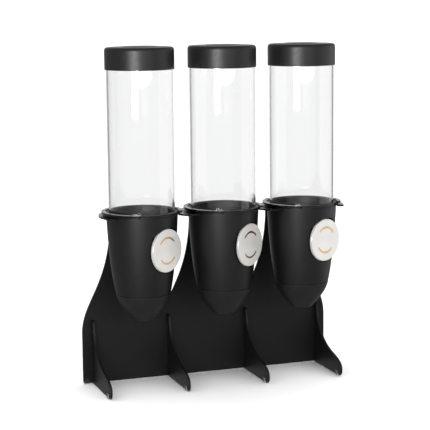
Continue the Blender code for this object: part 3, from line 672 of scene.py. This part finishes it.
def shelf_back():
    """The shelf's edge behind one canister, from right to left, with the notch for the panel's finger."""
    meet = math.degrees(math.acos(NECK_HALF / LOBE_R))
    edge = math.degrees(math.asin(SHELF_FRONT / LOBE_R))
    notch = [(NECK_HALF, PANEL_BACK), (FINGER_HALF + GAP, PANEL_BACK), (FINGER_HALF + GAP, PANEL_FRONT - GAP)]
    right = arc(0, 0, LOBE_R, edge, meet, 14) + notch
    return right + mirrored(right)


def ring_shelf():
    outline = []
    for x, turn in zip(AXES_X, TURNS):
        edge = shelf_mouth(turn)
        end = shelf_right_end if x == AXES_X[-1] else shelf_tip
        outline += shifted(edge + end(edge[-1], turn), x)
    for x in reversed(AXES_X):
        outline += shifted(shelf_back(), x)
    outline += shifted(shelf_left_end(), AXES_X[0])
    mesh = finished(eased(plate([outline], SHELF_HIGH - SHELF_LOW), SHELF_EASE, 3), SHELF_BLACK)
    place = Matrix.Translation((0, AXIS_Y, (SHELF_LOW + SHELF_HIGH) / 2))
    put("shelf_sheet", mesh, place, "stand", "shelf_black", "ring_shelf")


def ribs():
    """Fin-shaped feet. Their outline is (reach forward of the panel, z)."""
    outline = [(GAP, RIB_LOW)]
    for bottom, top in TENONS_Z:
        outline += [(GAP, bottom), (-SHEET, bottom), (-SHEET, top), (GAP, top)]
    outline += [(GAP, RIB_HIGH), (RIB_NOSE, RIB_HIGH)]
    outline += bezier(*RIB_HOLLOW, 40) + bezier(*RIB_TOE, 20)[1:] + bezier(*RIB_TIP, 10)[1:]
    mesh = finished(eased(plate([outline], RIB_T), SHEET_EASE), RIB_BLACK)
    turn = Matrix(((0, 0, -1, 0), (-1, 0, 0, AXIS_Y + PANEL_FRONT), (0, 1, 0, 0), (0, 0, 0, 1)))
    for number, x in enumerate(RIBS_X, 1):
        place = Matrix.Translation((x, 0, 0)) @ turn
        put(f"rib_sheet_{number}", mesh, place, "stand", "rib_black", f"rib_{number}")


def foot_clips():
    half = SHEET / 2 + GAP
    outer = half + FOOT_WALL
    sole = PANEL_LOW - GAP
    outline = [(-outer, 0), (outer, 0), (outer, FOOT_SIZE), (half, FOOT_SIZE), (half, sole),
               (-half, sole), (-half, FOOT_SIZE), (-outer, FOOT_SIZE)]
    mesh = finished(eased(plate([softened(outline, FOOT_EASE)], FOOT_SIZE), SHEET_EASE), CLIP_CLEAR)
    panel_y = AXIS_Y + PANEL_FRONT
    for number, x in enumerate(RIBS_X, 1):
        place = Matrix.Translation((x, panel_y - FOOT_REACH, 0)) @ UPRIGHT
        put(f"toe_foot_{number}", mesh, place, "stand", "clip_clear", f"toe_clip_{number}")
    for side, x in (("left", FOOT_INSET - PANEL_HALF), ("right", PANEL_HALF - FOOT_INSET)):
        place = Matrix.Translation((x, panel_y + SHEET / 2, 0)) @ Matrix.Rotation(math.radians(90), 4, "Z")
        put(f"corner_foot_{side}", mesh, place @ UPRIGHT, "stand", "clip_clear", f"corner_clip_{side}")


# ---------------------------------------------------------------- canister: shell

def hopper_profile():
    """The shell's section: rim, collar's groove, outer face and spigot, then up the inside to the ledge."""
    groove_top = COLLAR_LIP_Z + GAP
    rim = [(RIM_R, HOPPER_HIGH), (RIM_R, groove_top), (GROOVE_R, groove_top), (GROOVE_R, SHELF_HIGH)]
    side = bezier(*HOPPER_CURVE, 40)
    bore = SPIGOT_R - SPIGOT_WALL
    floor_z = SEAM_Z + SPIGOT_ROOT
    spigot = [(SPIGOT_R, SEAM_Z), (SPIGOT_R, SPIGOT_Z), (bore, SPIGOT_Z), (bore, floor_z)]
    step = DECK_LOW - GAP
    low, high = floor_z + HOPPER_INSET[0], step - HOPPER_INSET[1]
    inside = [(r - HOPPER_WALL, z) for r, z in reversed(side) if low < z < high]
    inside += [(DECK_R - GAP, step), (DECK_R + GAP, step), *LEDGE_FOOT]
    inside += [(LEDGE_R, TUBE_LOW - GAP), (TUBE_R + GAP, TUBE_LOW - GAP), (TUBE_R + GAP, HOPPER_HIGH)]
    return rim + side + spigot + inside


def hopper():
    shell = turned(softened(hopper_profile(), HOPPER_EASE), ROUND)
    (wide, top), (narrow, low) = POCKET_LIMIT
    limit = turned([(0, top), (wide, top), (narrow, low), (0, low)], ROUND, closed=False)
    boss = across(rod(POCKET_R + POCKET_WALL, POCKET_FLOOR - POCKET_WALL, BOSS_END, MEDIUM))
    boss = combined(boss, ("INTERSECT", limit))
    shell = combined(
        shell,
        ("UNION", boss),
        ("DIFFERENCE", across(rod(POCKET_R, POCKET_FLOOR, POCKET_END, MEDIUM))),
        ("DIFFERENCE", across(rod(BUSH_R + GAP, *BUSH_CUT))),
    )
    mesh = finished(shell, HOPPER_BLACK, 30)
    put_each("hopper_shell", mesh, CANISTERS, "canister", "hopper_black", "hopper")


def nozzle():
    inwards, down = SEAM_CHAMFER
    side = bezier((SEAM_R, NOZZLE_HIGH - down), *NOZZLE_PULLS, (OUTLET_R, OUTLET_Z), 36)
    inside = [(r - NOZZLE_WALL, z) for r, z in reversed(side) if z < SPIGOT_Z - NOZZLE_INSET]
    socket = [(SPIGOT_R + GAP, SPIGOT_Z - GAP), (SPIGOT_R + GAP, NOZZLE_HIGH)]
    profile = [(SEAM_R - inwards, NOZZLE_HIGH)] + side + inside + socket
    mesh = finished(turned(softened(profile, NOZZLE_EASE), ROUND), NOZZLE_BLACK, 50)
    put_each("nozzle_cone", mesh, CANISTERS, "canister", "nozzle_black", "nozzle")


def open_ring(inner, outer, low, high):
    """A flat ring between two heights, open towards the front, with rounded tips."""
    middle = (inner + outer) / 2
    half = (outer - inner) / 2
    right = COLLAR_OPENING - 90
    left = 270 - COLLAR_OPENING
    tip_x = middle * math.cos(math.radians(right))
    tip_y = middle * math.sin(math.radians(right))
    outline = arc(0, 0, outer, right, left, 110)
    outline += arc(-tip_x, tip_y, half, left, left + 180, 16)[1:-1]
    outline += arc(0, 0, inner, left, right, 110)
    outline += arc(tip_x, tip_y, half, right - 180, right, 16)[1:-1]
    ring = plate([outline], high - low)
    ring.matrix_world = Matrix.Translation((0, 0, (low + high) / 2))
    return ring


def collar():
    """A foot in the hopper's groove and a wider lip on it."""
    foot = open_ring(GROOVE_R + 2 * GAP, COLLAR_FOOT_R, COLLAR_LOW, COLLAR_LIP_Z)
    lip = open_ring(RIM_R + 2 * GAP, COLLAR_R, COLLAR_LIP_Z - OVERLAP, COLLAR_HIGH)
    mesh = finished(eased(combined(foot, ("UNION", lip)), COLLAR_EASE, 3), COLLAR_BLACK)
    places = [Matrix.Translation((x, AXIS_Y, 0)) @ Matrix.Rotation(turn, 4, "Z")
              for x, turn in zip(AXES_X, COLLAR_TURNS)]
    put_each("collar_ring", mesh, places, "canister", "collar_black", "collar")


def tube():
    inner = TUBE_R - TUBE_WALL
    profile = [(TUBE_R, TUBE_HIGH), (TUBE_R, TUBE_LOW), (inner, TUBE_LOW), (inner, TUBE_HIGH)]
    mesh = finished(turned(softened(profile, TUBE_EASE), SMOOTH), TUBE_CLEAR)
    for piece in put_each("tube_wall", mesh, CANISTERS, "canister", "tube_clear", "tube"):
        piece.visible_shadow = False


def lid():
    inner = TUBE_R + LID_PLAY
    ceiling = SEAL_HIGH + GAP
    top = [(0, LID_HIGH)] + bezier(*LID_DISC, 8) + bezier(*LID_CURVE, 16)
    skirt = [(LID_R, LID_SKIRT_Z), (LID_R, LID_LOW), (inner, LID_LOW), (inner, ceiling), (0, ceiling)]
    profile = top + softened(skirt, LID_EASE, closed=False)
    mesh = finished(turned(profile, ROUND, closed=False), LID_CHARCOAL, 50)
    put_each("lid_cap", mesh, CANISTERS, "lid", "lid_charcoal", "lid")


def lid_seal():
    profile = [(TUBE_R, SEAL_HIGH), (TUBE_R, SEAL_LOW), (SEAL_R, SEAL_LOW), (SEAL_R, SEAL_HIGH)]
    mesh = finished(turned(softened(profile, SEAL_EASE), ROUND), SEAL_SILICONE, 60)
    put_each("seal_ring", mesh, CANISTERS, "lid", "seal_silicone", "lid_seal")


# ---------------------------------------------------------------- canister: metering wheel and knob

def slot_outline(width, half_angle, middle):
    """An arc-shaped slot with round ends about the knob's middle, centred on an angle in degrees."""
    start, end = middle - half_angle, middle + half_angle
    r = width / 2
    ends = [(SLOT_R * math.cos(math.radians(a)), SLOT_R * math.sin(math.radians(a))) for a in (start, end)]
    outline = arc(0, 0, SLOT_R + r, start, end, 40)
    outline += arc(*ends[1], r, end, end + 180, 10)[1:-1]
    outline += arc(0, 0, SLOT_R - r, end, start, 40)
    outline += arc(*ends[0], r, start + 180, start + 360, 10)[1:-1]
    return outline


def arc_bar(width, middle, low, high):
    bar = plate([slot_outline(width, SLOT_HALF, middle)], high - low)
    bar.matrix_world = Matrix.Translation((0, 0, (low + high) / 2))
    return bar


def knob_plate():
    """The knob's metal face: flat, with a rounded rim that turns back towards the hopper."""
    back_of_face = KNOB_FACE - KNOB_SHEET
    skirt = KNOB_R - KNOB_SKIRT
    rim = arc(KNOB_R - KNOB_EDGE_R, KNOB_FACE - KNOB_EDGE_R, KNOB_EDGE_R, 90, 0, 8)
    profile = [(0, KNOB_FACE), (KNOB_FLAT_R, KNOB_FACE)] + rim
    profile += [(KNOB_R, KNOB_BACK), (skirt, KNOB_BACK), (skirt, back_of_face), (0, back_of_face)]
    face = turned(profile, ROUND, closed=False)
    slots = [("DIFFERENCE", arc_bar(SLOT_W, middle, *SLOT_CUT)) for middle in SLOTS]
    mesh = finished(combined(face, *slots), KNOB_STEEL, 40)
    mesh.transform(Matrix.Translation((0, 0, -KNOB_FACE)))
    places = [rotor @ Matrix.Translation((0, 0, KNOB_FACE)) for rotor in ROTORS]
    put_each("knob_face", mesh, places, "rotor", "knob_steel", "knob_plate")


def knob_core():
    """The disc behind the knob's face, with bars that fill its slots and a hub with the clip's groove."""
    front = KNOB_FACE - KNOB_SHEET - GAP
    radius = KNOB_R - KNOB_SKIRT - GAP
    back = KNOB_BACK + GAP
    disc = turned([(0, front), (radius, front), (radius, back), (0, back)], ROUND, closed=False)
    root, neck = back + OVERLAP, HUB_R - GROOVE_HALF
    high, low = GROOVE_MIDDLE + GROOVE_HALF, GROOVE_MIDDLE - GROOVE_HALF
    profile = [(0, root), (HUB_R, root), (HUB_R, high), (neck, high), (neck, low), (HUB_R, low)]
    profile += [(HUB_R, HUB_INNER + HUB_CHAMFER), (HUB_R - HUB_CHAMFER, HUB_INNER), (0, HUB_INNER)]
    hub = turned(profile, FINE, closed=False)
    hub.rotation_euler.z = HUB_TURN
    bars = [("UNION", arc_bar(SLOT_W - 2 * GAP, middle, front - BAR_ROOT, KNOB_FACE - GAP))
            for middle in SLOTS]
    half = SQUARE / 2 + GAP
    socket = block((-half, -half, SOCKET_START), (half, half, SPINDLE_END + GAP))
    solid = combined(disc, ("UNION", hub), *bars, ("DIFFERENCE", socket))
    put_each("knob_back", finished(solid, CORE_BRONZE, 40), ROTORS, "rotor", "core_bronze", "knob_core")


def spindle():
    half = SQUARE / 2
    inner, outer = JOURNAL_INSETS
    bar = combined(
        eased(block((-half, -half, -WHEEL_HALF - GAP), (half, half, SPINDLE_END)), SPINDLE_EASE),
        ("UNION", rod(JOURNAL_R, CHAMBER_HALF + inner, HUB_INNER - outer)),
        ("UNION", rod(TAIL_R, TAIL_END, -WHEEL_HALF)),
    )
    put_each("spindle_bar", finished(bar, SPINDLE_STEEL), ROTORS, "rotor", "spindle_steel", "spindle")


def paddle_wheel():
    """Paddles that thin towards rounded tips, on a hub with the spindle's square bore."""
    root, tip, reach = PADDLE_ROOT, PADDLE_TIP, WHEEL_R - PADDLE_TIP
    end = [(-tip, reach)] + arc(0, reach, tip, 180, 0, 8)[1:-1] + [(tip, reach)]
    blade = [(-root, 0.0)] + end + [(root, 0.0)]
    blades = []
    for number in range(PADDLES):
        paddle = plate([blade], 2 * (WHEEL_HALF - PADDLE_INSET))
        paddle.rotation_euler.z = math.radians(360 / PADDLES * number + PADDLE_TURN - 90)
        blades.append(("UNION", paddle))
    half = SQUARE / 2 + GAP
    bore = block((-half, -half, -BEYOND), (half, half, BEYOND))
    wheel = combined(rod(WHEEL_HUB_R, -WHEEL_HALF, WHEEL_HALF), *blades, ("DIFFERENCE", bore))
    put_each("paddles", finished(wheel, WHEEL_RUBBER), ROTORS, "rotor", "wheel_rubber", "paddle_wheel")


def metering_chamber():
    """The deck with the barrel under it, cut open above for the food and below for the chute."""
    outer = CHAMBER_HALF + CHAMBER_WALL
    half_x, half_y = CHUTE_HALF
    chute = block((-half_x, -half_y, KNOB_Z - BEYOND), (half_x, half_y, KNOB_Z - CHUTE_DROP))
    middle = (DECK_LOW + DECK_HIGH) / 2
    above = block((-BEYOND, -BEYOND, middle), (BEYOND, BEYOND, middle + BEYOND))
    pocket_y = POCKET_WALL - POCKET_FLOOR + GAP
    pocket = block((-BEYOND, -BEYOND, KNOB_Z - BEYOND), (BEYOND, pocket_y, KNOB_Z + BEYOND))
    barrel = across(rod(CHAMBER_R + CHAMBER_WALL, -outer, outer, MEDIUM))
    barrel = combined(barrel, ("DIFFERENCE", above))
    chamber = combined(
        rod(DECK_R, DECK_LOW, DECK_HIGH, ROUND),
        ("UNION", barrel),
        ("UNION", across(rod(REAR_BOSS_R, REAR_BOSS_END, -outer + REAR_BOSS_ROOT))),
        ("DIFFERENCE", across(rod(CHAMBER_R, -CHAMBER_HALF, CHAMBER_HALF, MEDIUM))),
        ("DIFFERENCE", chute),
        ("DIFFERENCE", across(rod(JOURNAL_R + GAP, *JOURNAL_CUT))),
        ("DIFFERENCE", across(rod(REAR_BUSH_R + GAP, *REAR_CUT))),
        ("DIFFERENCE", pocket),
    )
    mesh = finished(chamber, CHAMBER_BLACK)
    put_each("metering_deck", mesh, CANISTERS, "canister", "chamber_black", "metering_chamber")


def bushes():
    bore, low = HUB_R + HUB_PLAY, POCKET_FLOOR + GAP
    high = low + BUSH_FLANGE_T
    front = [(BUSH_FLANGE_R, high), (BUSH_FLANGE_R, low), (BUSH_R, low), (BUSH_R, BUSH_INNER),
             (bore, BUSH_INNER), (bore, high)]
    mesh = finished(turned(softened(front, BUSH_EASE), FINE), BUSH_NYLON, 50)
    put_each("front_bush_ring", mesh, KNOBS, "canister", "bush_nylon", "front_bush")
    near, bore = -CHAMBER_HALF - GAP, TAIL_R + GAP
    rear = [(REAR_BUSH_R, near), (REAR_BUSH_R, REAR_BUSH_END), (bore, REAR_BUSH_END), (bore, near)]
    mesh = finished(turned(softened(rear, BUSH_EASE), FINE), BUSH_NYLON, 50)
    put_each("rear_bush_ring", mesh, KNOBS, "canister", "bush_nylon", "rear_bush")


def spindle_clip():
    inner = HUB_R - GROOVE_HALF + GAP
    outline = arc(0, 0, WASHER_R, -WASHER_HALF_ARC, WASHER_HALF_ARC, 48)
    outline += arc(0, 0, inner, WASHER_HALF_ARC, -WASHER_HALF_ARC, 48)
    washer = eased(plate([softened(outline, WASHER_TIP_R)], WASHER_T), WASHER_EASE)
    places = [rotor @ Matrix.Translation((0, 0, GROOVE_MIDDLE)) for rotor in ROTORS]
    put_each("clip_washer", finished(washer, CLIP_STEEL), places, "rotor", "clip_steel", "spindle_clip")


# ---------------------------------------------------------------- studio

CAMERA_PLACE = Vector((-0.8228, AXIS_Y - 2.28705, 0.6618))
CAMERA_YAW, CAMERA_PITCH, CAMERA_ROLL = math.radians(19.456), math.radians(-8.575), math.radians(-0.585)
CAMERA_LENS = 121.9
ROOM_LIGHT = 1.5
BACK_LIGHT = 1.02
SIDE_LIGHT = 0.33
SIDE_EDGE, BACK_EDGE = 0.86, 0.985  # cosines of the angles off straight ahead, between which they blend
FLOOR_R = 30
FLOOR_Z = -0.0002


def camera():
    data = bpy.data.cameras.new("camera")
    data.lens = CAMERA_LENS
    data.sensor_width = 36
    made = bpy.data.objects.new("camera", data)
    bpy.context.scene.collection.objects.link(made)
    turn = Matrix.Rotation(-CAMERA_YAW, 4, "Z") @ Matrix.Rotation(CAMERA_PITCH + math.pi / 2, 4, "X")
    made.matrix_world = Matrix.Translation(CAMERA_PLACE) @ turn @ Matrix.Rotation(CAMERA_ROLL, 4, "Z")
    bpy.context.scene.camera = made


def floor():
    bm = bmesh.new()
    bmesh.ops.create_circle(bm, cap_ends=True, segments=96, radius=FLOOR_R)
    ground = from_bmesh(bm)
    ground.name = "floor"
    paper = Finish("floor_paper", Roughness=0.9, Specular_IOR_Level=0.1)
    paper.colour(paper.noise(3), (0.94, 0.94, 0.94), (0.96, 0.96, 0.96))
    ground.data.materials.append(paper.material)
    ground.location.z = FLOOR_Z
    ground.visible_transmission = ground.visible_glossy = False


def softbox(name, azimuth, distance, low, high, width, radiance):
    """An upright panel that shows only in gloss, facing the object, its azimuth counted from the front (-Y)
    towards +X.
    """
    data = bpy.data.lights.new(name, "AREA")
    data.shape = "RECTANGLE"
    data.size, data.size_y = width, high - low
    data.energy = radiance * math.pi * width * (high - low)
    lamp = bpy.data.objects.new(name, data)
    bpy.context.scene.collection.objects.link(lamp)
    a = math.radians(azimuth)
    lamp.location = (math.sin(a) * distance, -math.cos(a) * distance, (low + high) / 2)
    lamp.rotation_euler = (math.radians(90), 0, a)
    lamp.visible_diffuse = lamp.visible_transmission = False


def chosen(tree, selector, low, high, below, above):
    """A strength that goes from one value to another as the selector passes from low to high."""
    mix = node(tree, "ShaderNodeMapRange", From_Min=low, From_Max=high)
    tree.links.new(selector, mix.inputs["Value"])
    for name, value in (("To Min", below), ("To Max", above)):
        if isinstance(value, float):
            mix.inputs[name].default_value = value
        else:
            tree.links.new(value, mix.inputs[name])
    return mix.outputs["Result"]


def surroundings():
    """A white studio, seen white through the tubes, that gloss and the tubes' edges see dark at the sides."""
    world = bpy.data.worlds.new("studio")
    bpy.context.scene.world = world
    world.use_nodes = True
    tree = world.node_tree
    place = tree.nodes.new("ShaderNodeTexCoord")
    ahead = tree.nodes.new("ShaderNodeVectorMath")
    ahead.operation = "DOT_PRODUCT"
    ahead.inputs[1].default_value = (math.sin(CAMERA_YAW), math.cos(CAMERA_YAW), 0)
    tree.links.new(place.outputs["Generated"], ahead.inputs[0])
    path = tree.nodes.new("ShaderNodeLightPath").outputs
    strength = chosen(tree, ahead.outputs["Value"], SIDE_EDGE, BACK_EDGE, SIDE_LIGHT, BACK_LIGHT)
    strength = chosen(tree, path["Transmission Depth"], 2.2, 2.8, strength, BACK_LIGHT)
    strength = chosen(tree, path["Is Diffuse Ray"], 0.0, 1.0, strength, ROOM_LIGHT)
    strength = chosen(tree, path["Is Camera Ray"], 0.0, 1.0, strength, BACK_LIGHT)
    tree.links.new(strength, tree.nodes["Background"].inputs["Strength"])
    tree.nodes["Background"].inputs["Color"].default_value = (1, 1, 1, 1)


def studio():
    camera()
    floor()
    surroundings()
    softbox("narrow_panel", azimuth=-36, distance=2.2, low=0.3, high=0.82, width=0.8, radiance=34)
    softbox("wide_panel", azimuth=-10, distance=2.3, low=0.38, high=0.82, width=3.2, radiance=3.4)
    softbox("right_panel", azimuth=80, distance=2.3, low=-0.6, high=1.3, width=3.0, radiance=0.95)
    bpy.context.scene.view_settings.view_transform = "Standard"


back_panel()
ring_shelf()
ribs()
foot_clips()
hopper()
nozzle()
collar()
tube()
lid()
lid_seal()
knob_plate()
knob_core()
spindle()
paddle_wheel()
metering_chamber()
bushes()
spindle_clip()
studio()

bpy.context.view_layer.update()
